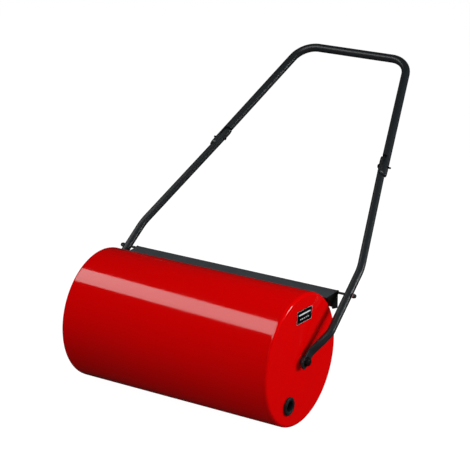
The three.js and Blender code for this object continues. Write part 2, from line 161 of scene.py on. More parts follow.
def turned(profile: Array, steps: int = 96, flats: float = 0.0, angles: Array | None = None) -> Array:
    """Turns a profile about the X axis: (x, radius) becomes (x, radius cos t, radius sin t).

    Args:
        profile: Points (x, radius), one a row.
        steps: Faces round the axis, where angles isn't given.
        flats: Width across the flats of a hexagon that the radius is held to. The hexagon's
            radius is half the flats over the cosine of the angle from its nearest flat.
        angles: The angles t themselves.

    Returns:
        A grid of shape (profile points, angles, 3).
    """
    t = np.arange(steps) * (2.0 * math.pi / steps) if angles is None else angles
    radius = np.repeat(profile[:, 1:2], len(t), axis=1)
    if flats:
        off = (t + math.pi / 6.0) % (math.pi / 3.0) - math.pi / 6.0
        radius = np.minimum(radius, flats / 2.0 / np.cos(off))
    x = np.repeat(profile[:, :1], len(t), axis=1)
    return np.stack([x, radius * np.cos(t), radius * np.sin(t)], axis=-1)


def threaded(grid: Array, start: float, pitch: float, depth: float) -> Array:
    """Cuts a screw thread into a turned grid.

    The radius loses a triangle wave of the given depth, whose phase is the distance along
    X over the pitch less the turn about X, so the groove winds once round in each pitch.

    Args:
        grid: A grid from turned.
        start: Where along X the thread begins.
        pitch: Distance between two grooves.
        depth: Depth of the groove.

    Returns:
        The grid with its thread.
    """
    angle = np.arctan2(grid[..., 2], grid[..., 1]) / (2.0 * math.pi)
    wave = np.abs(2.0 * ((grid[..., 0] / pitch - angle) % 1.0) - 1.0)
    radius = np.linalg.norm(grid[..., 1:], axis=-1)
    share = 1.0 - depth * wave / np.maximum(radius, depth) * (grid[..., 0] > start)
    return np.concatenate([grid[..., :1], grid[..., 1:] * share[..., None]], axis=-1)


def swept(path: Array, half: Array, wide: Array, lean: Array, steps: int = 44) -> Array:
    """Carries a pressed tube's section along a path in a plane.

    The section is a rounded slot: a point at angle t lies half cos t to the side in the
    plane and half sin t across it, and the flat between the two round edges is what the
    width across the plane exceeds the thickness by. Each section is square to the mean
    of the directions in which the path comes and goes, or at a tip square to r.

    Args:
        path: Points (x, r) in the plane, one a row.
        half: Half thickness in the plane at each point.
        wide: Half width across the plane at each point.
        lean: 1 at each point where the section is square to the path, 0 where square to r.
        steps: Faces round the tube.

    Returns:
        A grid of shape (points, steps, 3) in (x, r, height over the plane).
    """
    run = unit(np.diff(path, axis=0))
    along = unit(np.concatenate([run[:1], run]) + np.concatenate([run, run[-1:]]))
    t = (np.arange(steps) + 0.5) * (2.0 * math.pi / steps)
    edge = np.minimum(half, wide)[:, None]
    reach = half[:, None] * np.cos(t)
    rise = edge * np.sin(t) + (wide[:, None] - edge) * np.sign(np.sin(t))
    x = path[:, :1] + along[:, 1:] * reach
    r = path[:, 1:] - along[:, :1] * reach * lean[:, None]
    return np.stack([x, r, rise], axis=-1)


class Shape:
    """Grids of points gathered into one closed surface."""

    def __init__(self) -> None:
        """Starts with nothing."""
        self.points: list[Array] = []
        self.quads: list[Array] = []
        self.count = 0

    def add(
        self, grid: Array, around: bool = True, along: bool = False, keep: Array | None = None
    ) -> "Shape":
        """Adds a grid of points as a sheet of four-sided faces.

        Args:
            grid: Points of shape (rows, columns, 3).
            around: Whether the last column joins the first.
            along: Whether the last row joins the first.
            keep: Which faces are made, by row and column; all of them if left out.

        Returns:
            The shape itself, so that calls can follow each other.
        """
        rows, columns = grid.shape[:2]
        index = np.arange(rows * columns).reshape(rows, columns) + self.count
        index = np.concatenate([index, index[:, :1]], axis=1) if around else index
        index = np.concatenate([index, index[:1]], axis=0) if along else index
        corners = (index[:-1, :-1], index[1:, :-1], index[1:, 1:], index[:-1, 1:])
        quads = np.stack(corners, axis=-1)
        self.quads.append(quads[keep] if keep is not None else quads.reshape(-1, 4))
        self.points.append(grid.reshape(-1, 3))
        self.count += rows * columns
        return self

    def mesh(self, name: str, place: Array) -> bpy.types.Mesh:
        """Welds the grids into a mesh with its faces outwards and its sharp edges marked.

        Args:
            name: The mesh's name.
            place: A 4 by 4 matrix that takes the shape's own axes to the frame's.

        Returns:
            The mesh.
        """
        points = np.concatenate(self.points) @ place[:3, :3].T + place[:3, 3]
        mesh = bpy.data.meshes.new(name)
        mesh.from_pydata(points.tolist(), [], np.concatenate(self.quads).tolist())
        shell = bmesh.new()
        shell.from_mesh(mesh)
        bmesh.ops.remove_doubles(shell, verts=shell.verts, dist=WELD)
        bmesh.ops.dissolve_degenerate(shell, edges=shell.edges, dist=WELD)
        bmesh.ops.recalc_face_normals(shell, faces=shell.faces)
        shell.to_mesh(mesh)
        shell.free()
        mesh.validate()
        mesh.shade_smooth()
        mesh.set_sharp_from_angle(angle=CREASE)
        return mesh


# ---- the frame --------------------------------------------------------------------------


class Side(Enum):
    """An end of the roller, with the sign of its X."""

    RIGHT = 1.0
    LEFT = -1.0

    @property
    def word(self) -> str:
        """The side as it ends a node's name."""
        return self.name.lower()

    @property
    def mirror(self) -> Array:
        """The matrix that takes the right end's axes to this side's."""
        return np.diag([self.value, 1.0, 1.0, 1.0])


def joint_point(name: str) -> Array:
    """Gives the place of a joint's axis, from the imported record."""
    return np.array(next(joint["pos_m"] for joint in frame["joints"] if joint["name"] == name))


def span(node: str) -> tuple[float, float]:
    """Gives where a node begins and ends along X."""
    low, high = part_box(node)
    return low.x, high.x


def middle(node: str) -> tuple[float, float]:
    """Gives the y and z of the middle of a node."""
    low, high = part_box(node)
    return (low.y + high.y) / 2.0, (low.z + high.z) / 2.0


def reach(node: str) -> float:
    """Gives the radius of a round node about its own X axis."""
    low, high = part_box(node)
    return max(high.y - low.y, high.z - low.z) / 2.0


def placed(origin: Array, tilt: float = 0.0) -> Array:
    """Gives the matrix of axes turned by tilt about X and moved to origin."""
    matrix = np.eye(4)
    matrix[1:3, 1:3] = [[math.cos(tilt), -math.sin(tilt)], [math.sin(tilt), math.cos(tilt)]]
    matrix[:3, 3] = origin
    return matrix


AXLE = joint_point("drum_spin")
FOLD = joint_point("handle_fold")
ROD = joint_point("scraper_swing")
TILT = math.atan2(FOLD[2] - AXLE[2], FOLD[1] - AXLE[1])  # lean of the push bar above the level
DISC_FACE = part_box("end_disc_right")[1].x
SHELL_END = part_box("drum_shell")[1].x
DRUM_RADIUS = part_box("drum_shell")[1].z / 2.0
RIM_RADIUS = DISC_FACE - SHELL_END

AT_AXLE = placed(AXLE)
ON_BAR = placed(AXLE, TILT)
AT_FOLD = placed(FOLD, TILT)
AT_ROD = placed(ROD, TILT)


# ---- finishes ---------------------------------------------------------------------------


def linear(code: str) -> tuple[float, float, float, float]:
    """Turns an sRGB hex colour such as #cc0000 into linear red, green, blue and alpha."""
    value = np.array([int(code[k : k + 2], 16) for k in (1, 3, 5)]) / 255.0
    curve = np.where(value <= 0.04045, value / 12.92, ((value + 0.055) / 1.055) ** 2.4)
    return (*curve.tolist(), 1.0)


def add_node(tree: bpy.types.NodeTree, kind: str, inputs: dict | None = None, **settings) -> bpy.types.Node:
    """Adds a node to a tree.

    Args:
        tree: The tree it goes into.
        kind: The node's type name.
        inputs: For each input, by name or number, the value it holds or the output socket
            that feeds it.
        **settings: The node's own options.

    Returns:
        The node.
    """
    node = tree.nodes.new(kind)
    for option, choice in settings.items():
        setattr(node, option, choice)
    for key, value in (inputs or {}).items():
        if isinstance(value, bpy.types.NodeSocket):
            tree.links.new(value, node.inputs[key])
        else:
            node.inputs[key].default_value = value
    return node


@dataclass(frozen=True)
class Finish:
    """A surface finish: a base colour that drifts to a shade of itself, over a fine grain.

    The grain is noise whose cells have the given size, and it raises a bump of the given
    height. The drift is a broad noise that also moves the roughness a little either way.
    """

    name: str
    slot: str
    colour: str
    shade: str
    roughness: float
    spread: float  # how far the roughness moves with the drift
    grain: float  # size of one cell of the grain
    relief: float  # height of the grain
    drift: float = 60.0 * MM  # size of one cell of the drift
    metallic: float = 0.0
    specular: float = 0.5

    def patterns(self, tree: bpy.types.NodeTree, point: Socket) -> dict:
        """Makes the colour, roughness and height of the surface.

        Args:
            tree: The material's tree.
            point: The socket with the place on the surface.

        Returns:
            The output sockets by the names colour, roughness and height.
        """
        drift, grain = (
            add_node(tree, "ShaderNodeTexNoise", {"Vector": point, "Scale": 1.0 / cell, "Detail": detail})
            for cell, detail in ((self.drift, 3.0), (self.grain, 2.0))
        )
        colour = add_node(
            tree,
            "ShaderNodeMix",
            {"Factor": drift.outputs["Fac"], "A": linear(self.colour), "B": linear(self.shade)},
            data_type="RGBA",
        )
        rough = add_node(
            tree,
            "ShaderNodeMapRange",
            {
                "Value": drift.outputs["Fac"],
                "From Min": 0.3,
                "From Max": 0.7,
                "To Min": self.roughness - self.spread,
                "To Max": self.roughness + self.spread,
            },
        )
        return {
            "colour": colour.outputs["Result"],
            "roughness": rough.outputs["Result"],
            "height": grain.outputs["Fac"],
        }

    def material(self) -> bpy.types.Material:
        """Makes the material, or gives it back if it is already made.

        Returns:
            The material.
        """
        made = bpy.data.materials.get(self.name)
        if made:
            return made
        made = bpy.data.materials.new(self.name)
        made.use_nodes = True
        tree = made.node_tree
        tree.nodes.clear()
        point = add_node(tree, "ShaderNodeTexCoord").outputs["Object"]
        look = self.patterns(tree, point)
        bump = add_node(
            tree,
            "ShaderNodeBump",
            {"Strength": 1.0, "Distance": self.relief, "Height": look["height"]},
        )
        shader = add_node(
            tree,
            "ShaderNodeBsdfPrincipled",
            {
                "Base Color": look["colour"],
                "Metallic": self.metallic,
                "Roughness": look["roughness"],
                "Specular IOR Level": self.specular,
                "Normal": bump.outputs["Normal"],
            },
        )
        add_node(tree, "ShaderNodeOutputMaterial", {"Surface": shader.outputs["BSDF"]})
        made.diffuse_color = linear(self.colour)
        return made


@dataclass(frozen=True)
class SpangledZinc(Finish):
    """Zinc plating: the crystals of the coat catch the light one by one."""

    crystal: float = 1.6 * MM  # real crystals are a little smaller; drawn coarse so they show

    def patterns(self, tree: bpy.types.NodeTree, point: Socket) -> dict:
        """Adds to the plain patterns a random tint and roughness for each crystal."""
        look = super().patterns(tree, point)
        cells = add_node(tree, "ShaderNodeTexVoronoi", {"Vector": point, "Scale": 1.0 / self.crystal})
        pick = add_node(tree, "ShaderNodeSeparateColor", {"Color": cells.outputs["Color"]}).outputs["Red"]
        look["colour"] = add_node(
            tree,
            "ShaderNodeMix",
            {"Factor": pick, "A": linear(self.colour), "B": linear(self.shade)},
            data_type="RGBA",
        ).outputs["Result"]
        look["roughness"] = add_node(
            tree,
            "ShaderNodeMapRange",
            {"Value": pick, "To Min": self.roughness - self.spread, "To Max": self.roughness + self.spread},
        ).outputs["Result"]
        return look


# High-gloss red enamel, sprayed and baked on sheet steel: a deep even red under a wet shine,
# with the faint waviness that sprayed paint keeps, which shows only in reflections.
RED_ENAMEL = Finish(
    name="red_enamel",
    slot="red_paint",
    colour="#d30001",
    shade="#cd0001",
    roughness=0.09,
    spread=0.02,
    grain=5.0 * MM,
    relief=0.006 * MM,
    drift=90.0 * MM,
    specular=0.55,
)
# Satin black powder coat: melted grains leave a fine pebbled skin that softens highlights.
# The real grain is about 0.5 mm; it is drawn at 0.9 mm so that it shows.
POWDER_COAT = Finish(
    name="black_powder_coat",
    slot="black_coat",
    colour="#222628",
    shade="#1b1e20",
    roughness=0.34,
    spread=0.04,
    grain=0.9 * MM,
    relief=0.03 * MM,
    drift=40.0 * MM,
)
# The scraper's sheet wears the same black coat painted a lighter grey: painted light, for the light from
# above that falls on its level top.
PAINTED_LIT_COAT = replace(
    POWDER_COAT, name="black_powder_coat_dusty", colour="#43474a", shade="#36393c", roughness=0.42
)
# Its upright end plates wear the same coat painted a deeper black: painted shade, for the little light that
# reaches them.
PAINTED_SHADE_COAT = replace(POWDER_COAT, name="black_powder_coat_clean", colour="#111213", shade="#0d0e0f")
# Blackened steel fasteners: an oxide skin with an oily, slightly uneven sheen.
BLACK_OXIDE = Finish(
    name="black_oxide_steel",
    slot="black_steel",
    colour="#3a3b3e",
    shade="#232426",
    roughness=0.42,
    spread=0.08,
    grain=0.7 * MM,
    relief=0.02 * MM,
    drift=6.0 * MM,
    metallic=0.85,
)
BRIGHT_ZINC = SpangledZinc(
    name="bright_zinc_plating",
    slot="zinc_steel",
    colour="#d2d5d6",
    shade="#a9adb0",
    roughness=0.30,
    spread=0.08,
    grain=0.8 * MM,
    relief=0.01 * MM,
    metallic=1.0,
)
# Moulded nylon: a spark-eroded mould leaves a fine matt grain with a dull waxy shine.
MOULDED_NYLON = Finish(
    name="moulded_nylon",
    slot="nylon",
    colour="#222325",
    shade="#1b1c1d",
    roughness=0.55,
    spread=0.05,
    grain=0.6 * MM,
    relief=0.03 * MM,
    drift=8.0 * MM,
)
# Moulded rubber: matt, a little greyer where the bloom comes to the surface.
MOULDED_RUBBER = Finish(
    name="moulded_rubber",
    slot="rubber",
    colour="#111214",
    shade="#1f2124",
    roughness=0.55,
    spread=0.10,
    grain=0.8 * MM,
    relief=0.04 * MM,
    drift=14.0 * MM,
)


@dataclass(frozen=True)
class PrintedFilm(Finish):
    """Black label film with a silver line round it and plain bars in place of print.

    All of it is worked out in the label's own axes, by a Mapping node that centres and turns
    them: u along the label, v up it. A bar is the product of four steps, one at each edge.
    """

    silver: str = "#c9ccd0"
    width: float = 69.0 * MM
    height: float = 32.0 * MM
    centre: tuple[float, float] = (0.0, 0.0)  # (y, z)
    turn: float = 0.0
    margin: float = 0.7 * MM  # from the film's edge to the silver line
    line: float = 0.45 * MM

    @staticmethod
    def inside(tree: bpy.types.NodeTree, u: Socket, v: Socket, box: tuple) -> Socket:
        """Gives 1 where (u, v) is inside a box and 0 outside it.

        Args:
            tree: The material's tree.
            u: Place along the label.
            v: Place up the label.
            box: (middle u, middle v, half width, half height).

        Returns:
            The socket with the 1 or 0.
        """
        hits = []
        for place, middle, half in ((u, box[0], box[2]), (v, box[1], box[3])):
            near = add_node(tree, "ShaderNodeMath", {0: place, 1: middle, 2: half}, operation="COMPARE")
            hits.append(near.outputs["Value"])
        both = add_node(tree, "ShaderNodeMath", {0: hits[0], 1: hits[1]}, operation="MULTIPLY")
        return both.outputs["Value"]

    def patterns(self, tree: bpy.types.NodeTree, point: Socket) -> dict:
        """Adds the silver line and bars to the film's colour, metal and roughness."""
        look = super().patterns(tree, point)
        cos, sin = math.cos(self.turn), math.sin(self.turn)
        y, z = self.centre
        moved = add_node(
            tree,
            "ShaderNodeMapping",
            {
                "Vector": point,
                "Location": (0.0, -(y * cos + z * sin), y * sin - z * cos),
                "Rotation": (-self.turn, 0.0, 0.0),
            },
        )
        axes = add_node(tree, "ShaderNodeSeparateXYZ", {"Vector": moved.outputs["Vector"]})
        u, v = axes.outputs["Y"], axes.outputs["Z"]
        half_u, half_v = self.width / 2.0 - self.margin, self.height / 2.0 - self.margin
        outer = self.inside(tree, u, v, (0.0, 0.0, half_u, half_v))
        inner = self.inside(tree, u, v, (0.0, 0.0, half_u - self.line, half_v - self.line))
        ink = add_node(tree, "ShaderNodeMath", {0: outer, 1: inner}, operation="SUBTRACT").outputs["Value"]
        wide_bar = (0.0, 5.2 * MM, 0.38 * self.width, 1.7 * MM)
        small_bars = [((k - 2.0) * 8.6 * MM, -6.0 * MM, 2.1 * MM, 1.1 * MM) for k in range(5)]
        for box in (wide_bar, *small_bars):
            bar = self.inside(tree, u, v, box)
            ink = add_node(tree, "ShaderNodeMath", {0: ink, 1: bar}, operation="MAXIMUM").outputs["Value"]
        look["colour"] = add_node(
            tree,
            "ShaderNodeMix",
            {"Factor": ink, "A": look["colour"], "B": linear(self.silver)},
            data_type="RGBA",
        ).outputs["Result"]
        return look


# ---- pieces -----------------------------------------------------------------------------


def linked(name: str, data: bpy.types.ID) -> bpy.types.Object:
    """Makes an object of the given mesh, light or camera and puts it in the scene."""
    made = bpy.data.objects.new(name, data)
    bpy.context.scene.collection.objects.link(made)
    return made


@dataclass(frozen=True)
class Duty:
    """What a piece is made of, what it rides on and which nodes it stands for."""

    finish: Finish
    body: str
    nodes: tuple[str, ...]


@dataclass(frozen=True)
class Drill:
    """A round hole along X: from one x to another, about the point (y, z) of the shape's axes."""

    start: float
    end: float
    radius: float
    y: float = 0.0
    z: float = 0.0

    def cut(self, piece: bpy.types.Object, place: Array) -> None:
        """Takes the hole out of a piece.

        Args:
            piece: The piece, which gets a new mesh under its old name.
            place: The matrix from the shape's axes to the frame's.
        """
        start, end, radius = self.start, self.end, self.radius
        profile = np.array([(start, 0.0), (start, radius), (end, radius), (end, 0.0)])
        core = turned(profile, steps=48) + np.array([0.0, self.y, self.z])
        tool = linked("drill", Shape().add(core).mesh("drill", place))
        modifier = piece.modifiers.new("drill", "BOOLEAN")
        modifier.operation, modifier.solver, modifier.object = "DIFFERENCE", "EXACT", tool
        solid = piece.evaluated_get(bpy.context.evaluated_depsgraph_get())
        drilled = bpy.data.meshes.new_from_object(solid)
        piece.modifiers.clear()
        before, piece.data = piece.data, drilled
        for mesh in (before, tool.data):
            bpy.data.meshes.remove(mesh)
        drilled.name = piece.name
        drilled.set_sharp_from_angle(angle=CREASE)


def make_piece(
    name: str, shape: Shape, place: Array, duty: Duty, drills: tuple[Drill, ...] = ()
) -> bpy.types.Object:
    """Makes a piece from its shape, dresses it and ties it to the frame.

    Args:
        name: The piece's name.
        shape: Its surface.
        place: The matrix from the shape's axes to the frame's.
        duty: Its finish, body and nodes.
        drills: The holes cut through it.

    Returns:
        The piece.
    """
    mesh = shape.mesh(name, place)
    mesh.materials.append(duty.finish.material())
    piece = linked(name, mesh)
    for drill in drills:
        drill.cut(piece, place)
    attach(piece, duty.body)
    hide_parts(*duty.nodes)
    log.info("%s: %d faces, on %s", name, len(piece.data.polygons), duty.body)
    return piece


def filleted(points: list[tuple[float, float, float]], closed: bool = True, steps: int = 5) -> Array:
    """Rounds a profile given as (x, radius, fillet) rows."""
    rows = np.array(points)
    return rounded(rows[:, :2], rows[:, 2], closed=closed, steps=steps)


def ring(node: str, bore: float, fillet: float, steps: int = 96) -> Shape:
    """Makes a flat ring in the place of a node, with its four edges rounded.

    Args:
        node: The node that gives its ends and its outer radius.
        bore: Radius of the hole.
        fillet: Radius of each edge.
        steps: Faces round it.

    Returns:
        The shape.
    """
    start, end = span(node)
    outer = reach(node)
    corners = [(start, bore), (start, outer), (end, outer), (end, bore)]
    return Shape().add(turned(filleted([(*corner, fillet) for corner in corners]), steps=steps), along=True)


@dataclass
class Drum:
    """The water drum: a rolled sheet, two spun end discs, hubs, filler collar and label."""

    sheet: float = 1.5 * MM
    lap: float = 14.0 * MM  # how far an end disc reaches inside the rolled sheet
    gap: float = 0.3 * MM
    hub: float = 13.0 * MM  # radius
    hub_flange: float = 25.0 * MM
    hub_bore: float = 5.3 * MM
    hub_flange_thickness: float = 3.0 * MM
    hub_floor: float = 4.0 * MM
    weld_bead: float = 2.4 * MM
    facets: int = 288
    seam_angle: float = math.radians(-118.0)  # the long weld, low at the back
    seam_width: float = 3.0 * MM
    seam_height: float = 0.25 * MM
    hole: float = 16.5 * MM  # radius of the filler hole
    hole_lip: float = 0.4 * MM
    collar_edge: float = 0.5 * MM
    rings: int = 30  # cells of a flat face from the hub to the rim
    patch_rings: int = 5  # cells left out to each side of the filler hole, along a radius
    patch_spokes: int = 11  # and round the axle
    label_width: float = 69.0 * MM
    label_height: float = 32.0 * MM
    label_turn: float = math.radians(-4.0)

    def rolled_sheet(self) -> Shape:
        """Makes the shell: a ring of sheet, with the long weld as a low rounded ridge.

        The ridge adds to the radius its height times exp(-(d / width)^2), where d is the
        distance round the drum from the weld's line.
        """
        steps = np.arange(self.facets) * (2.0 * math.pi / self.facets)
        weld = self.seam_angle + np.linspace(-2.4, 2.4, 17) * self.seam_width / DRUM_RADIUS
        angles = np.unique(np.round(np.concatenate([steps, weld % (2.0 * math.pi)]), 6))
        inner = DRUM_RADIUS - self.sheet
        edge = 0.4 * MM
        end = SHELL_END
        profile = filleted(
            [(-end, inner, 0.0), (-end, DRUM_RADIUS, edge), (end, DRUM_RADIUS, edge), (end, inner, 0.0)]
        )
        grid = turned(profile, angles=angles)
        away = (angles - self.seam_angle + math.pi) % (2.0 * math.pi) - math.pi
        ridge = self.seam_height * np.exp(-((away * DRUM_RADIUS / self.seam_width) ** 2))
        outside = (profile[:, 1] > DRUM_RADIUS - edge * 1.01)[:, None]
        grid[..., 1:] *= (1.0 + outside * ridge / DRUM_RADIUS)[..., None]
        return Shape().add(grid, along=True)

    def disc_edge(self) -> Array:
        """Gives the end disc's profile from the edge of its flat face to the inside again."""
        start = DRUM_RADIUS - RIM_RADIUS
        bend = np.linspace(0.0, math.pi / 2.0, 15)[1:]
        inner = RIM_RADIUS - self.sheet
        centre = DISC_FACE - RIM_RADIUS
        outside = np.stack([centre + RIM_RADIUS * np.cos(bend), start + RIM_RADIUS * np.sin(bend)], axis=1)
        inside = np.stack([centre + inner * np.cos(bend), start + inner * np.sin(bend)], axis=1)
        skirt = DRUM_RADIUS - self.sheet - self.gap
        step = centre + 0.1 * MM
        outside[:, 0] = np.maximum(outside[:, 0], step)
        inside[:, 0] = np.maximum(inside[:, 0], step + self.sheet)
        inside[:, 1] = np.minimum(inside[:, 1], skirt - 0.2 * MM)
        tail = filleted(
            [
                (step, skirt, 0.0),
                (centre - self.lap, skirt, 0.4 * MM),
                (centre - self.lap, skirt - self.sheet, 0.4 * MM),
                (step + self.sheet, skirt - self.sheet, 0.0),
            ],
            closed=False,
        )
        return np.concatenate([outside, tail, inside[::-1]])

    def end_disc(self, with_hole: bool) -> Shape:
        """Makes an end disc, with the filler hole cut through it if asked.

        The disc is its profile turned about the axle. Round the filler hole a patch of the
        flat face is left out on both sides, and one strip fills it: it runs from the patch's
        edge in to the hole, through the sheet and out to the patch's edge on the inside,
        each line of it straight between a point of the edge and the hole's circle.

        Args:
            with_hole: Whether this is the end with the filler hole.

        Returns:
            The shape.
        """
        radii = np.linspace(self.hub + self.gap / 2.0, DRUM_RADIUS - RIM_RADIUS, self.rings + 1)
        face = np.stack([np.full_like(radii, DISC_FACE), radii], axis=1)
        back = face[::-1] - [self.sheet, 0.0]
        profile = np.concatenate([face, self.disc_edge(), back])
        y, z = np.array(middle("filler_bung")) - AXLE[1:]
        spoke = math.atan2(z, y) + math.pi
        angles = spoke + np.arange(self.facets) * (2.0 * math.pi / self.facets)
        grid = turned(profile, angles=angles)
        if not with_hole:
            return Shape().add(grid, along=True)
        row = int(np.argmin(np.abs(radii - math.hypot(y, z))))
        column = self.facets // 2
        rows = slice(row - self.patch_rings, row + self.patch_rings)
        columns = slice(column - self.patch_spokes, column + self.patch_spokes)
        keep = np.ones((len(profile), self.facets), dtype=bool)
        keep[rows, columns] = False
        last = len(profile) - 1
        keep[last - rows.stop : last - rows.start, columns] = False
        first = self.patch_edge(grid, rows, columns)
        mirror = self.patch_edge(grid[::-1], rows, columns)
        eye = np.array([DISC_FACE, y, z])
        shares = np.linspace(0.0, 1.0, 6)[:, None, None]
        lip = self.hole_lip
        spokes = unit((first - eye) * [0.0, 1.0, 1.0])
        outer = first * (1.0 - shares) + (eye + spokes * (self.hole + lip)) * shares
        bend = np.linspace(0.0, math.pi / 2.0, 5)[1:, None, None]
        drop = np.array([1.0, 0.0, 0.0])
        turn_in = spokes * (self.hole + lip * (1.0 - np.sin(bend)))
        rounding = eye + turn_in - drop * lip * (1.0 - np.cos(bend))
        inner = mirror * (1.0 - shares) + (eye - drop * self.sheet + spokes * self.hole) * shares
        strip = np.concatenate([outer, rounding, inner[::-1]])
        return Shape().add(grid, along=True, keep=keep).add(strip)

    @staticmethod
    def patch_edge(grid: Array, rows: slice, columns: slice) -> Array:
        """Gives the points round the edge of a patch of a grid, in order."""
        low, high, left, right = rows.start, rows.stop, columns.start, columns.stop
        return np.concatenate(
            [
                grid[low, left:right],
                grid[low:high, right],
                grid[high, right:left:-1],
                grid[high:low:-1, left],
            ]
        )

    def axle_hub(self) -> Shape:
        """Makes a hub: a blind bush with a flange inside the disc and a weld bead outside."""
        start, end = span("axle_hub_right")
        inner = DISC_FACE - self.sheet - 0.1 * MM
        flange = inner - self.hub_flange_thickness
        floor = start + self.hub_floor
        bead = self.weld_bead
        profile = filleted(
            [
                (start, 0.0, 0.0),
                (start, self.hub, 1.0 * MM),
                (flange, self.hub, 0.0),
                (flange, self.hub_flange, 0.8 * MM),
                (inner, self.hub_flange, 0.3 * MM),
                (inner, self.hub, 0.0),
                (DISC_FACE + 0.02 * MM, self.hub, 0.0),
                (DISC_FACE + 0.02 * MM, self.hub + bead, 0.0),
                (DISC_FACE + 0.6 * MM, self.hub + 0.7 * bead, 0.5 * MM),
                (end, self.hub, 0.4 * MM),
                (end, self.hub_bore, 0.3 * MM),
                (floor, self.hub_bore, 0.0),
                (floor, 0.0, 0.0),
            ],
            closed=False,
        )
        return Shape().add(turned(profile))

    def label(self) -> Shape:
        """Makes the label: a thin plate with rounded corners and a soft edge.

        Its rings are its outline, drawn in from the edge to the middle, on each face.
        """
        start, end = span("label_plate")
        edge = 0.15 * MM
        half_u, half_v = self.label_width / 2.0, self.label_height / 2.0
        corners = np.array([(-half_u, -half_v), (half_u, -half_v), (half_u, half_v), (-half_u, half_v)])
        outline = rounded(corners, np.full(4, 2.0 * MM), steps=8)
        rings = [(start, 0.0), (start, 1.0), (end - edge, 1.0), (end, 1.0 - edge / half_v), (end, 0.0)]
        grid = np.stack([np.insert(outline * share, 0, x, axis=1) for x, share in rings])
        return Shape().add(grid)

    def build(self) -> None:
        """Makes and dresses the drum's pieces."""
        duty = Duty(RED_ENAMEL, "drum", ("drum_shell",))
        make_piece("drum_rolled_sheet", self.rolled_sheet(), AT_AXLE, duty)
        for side in Side:
            place = AT_AXLE @ side.mirror
            duty = Duty(RED_ENAMEL, "drum", (f"end_disc_{side.word}",))
            make_piece(f"drum_end_{side.word}", self.end_disc(side is Side.RIGHT), place, duty)
            duty = Duty(RED_ENAMEL, "drum", (f"axle_hub_{side.word}",))
            make_piece(f"welded_hub_{side.word}", self.axle_hub(), place, duty)
        seat = np.array([0.0, *middle("filler_collar")])
        collar = ring("filler_collar", self.hole, self.collar_edge)
        make_piece("filler_ring", collar, placed(seat), Duty(BLACK_OXIDE, "drum", ("filler_collar",)))
        label_middle = middle("label_plate")
        # Printed label film: flat black with a dull silver ink that stands out from it.
        film = PrintedFilm(
            name="printed_label_film",
            slot="label_film",
            colour="#060607",
            shade="#0a0a0b",
            roughness=0.32,
            spread=0.04,
            grain=1.2 * MM,
            relief=0.005 * MM,
            specular=0.2,
            width=self.label_width,
            height=self.label_height,
            centre=label_middle,
            turn=self.label_turn,
        )
        place = placed(np.array([0.0, *label_middle]), self.label_turn)
        make_piece("label_badge", self.label(), place, Duty(film, "drum", ("label_plate",)))


@dataclass
class Bung:
    """The rubber bung in the filler hole."""

    radius: float = 22.0 * MM
    neck: float = 15.3 * MM
    lip: float = 16.2 * MM
    cup: float = 13.5 * MM  # radius of the hollow that a finger takes hold of
    lip_pitch: float = 7.0 * MM
    lip_width: float = 4.0 * MM

    def shape(self) -> Shape:
        """Makes the bung: a flange with a rolled rim, a hollow cup and two sealing lips."""
        tip, face = span("filler_bung")
        seat = DISC_FACE + 0.3 * MM
        floor = tip + 6.0 * MM
        lips = [seat - k * self.lip_pitch + 1.0 * MM for k in (2, 1)]
        half, foot = self.lip_width / 2.0, 0.6 * MM
        waves = []
        for x in lips:
            waves += [(x - half, self.neck, foot), (x, self.lip, 0.5 * MM), (x + half, self.neck, foot)]
        profile = filleted(
            [
                (tip, 0.0, 0.0),
                (tip, self.neck - 2.0 * MM, 1.0 * MM),
                (tip + 4.0 * MM, self.neck, 1.0 * MM),
                *waves,
                (seat, self.neck, 0.0),
                (seat, self.radius, 1.0 * MM),
                (face - 2.0 * MM, self.radius, 1.6 * MM),
                (face, self.radius - 2.5 * MM, 1.6 * MM),
                (face, self.cup + 2.0 * MM, 1.0 * MM),
                (face - 1.2 * MM, self.cup, 0.8 * MM),
                (floor, self.cup - 1.5 * MM, 3.0 * MM),
                (floor, 0.0, 0.0),
            ],
            closed=False,
        )
        return Shape().add(turned(profile))

    def build(self) -> None:
        """Makes and dresses the bung."""
        seat = np.array([0.0, *middle("filler_bung")])
        make_piece("rubber_bung", self.shape(), placed(seat), Duty(MOULDED_RUBBER, "bung", ("filler_bung",)))


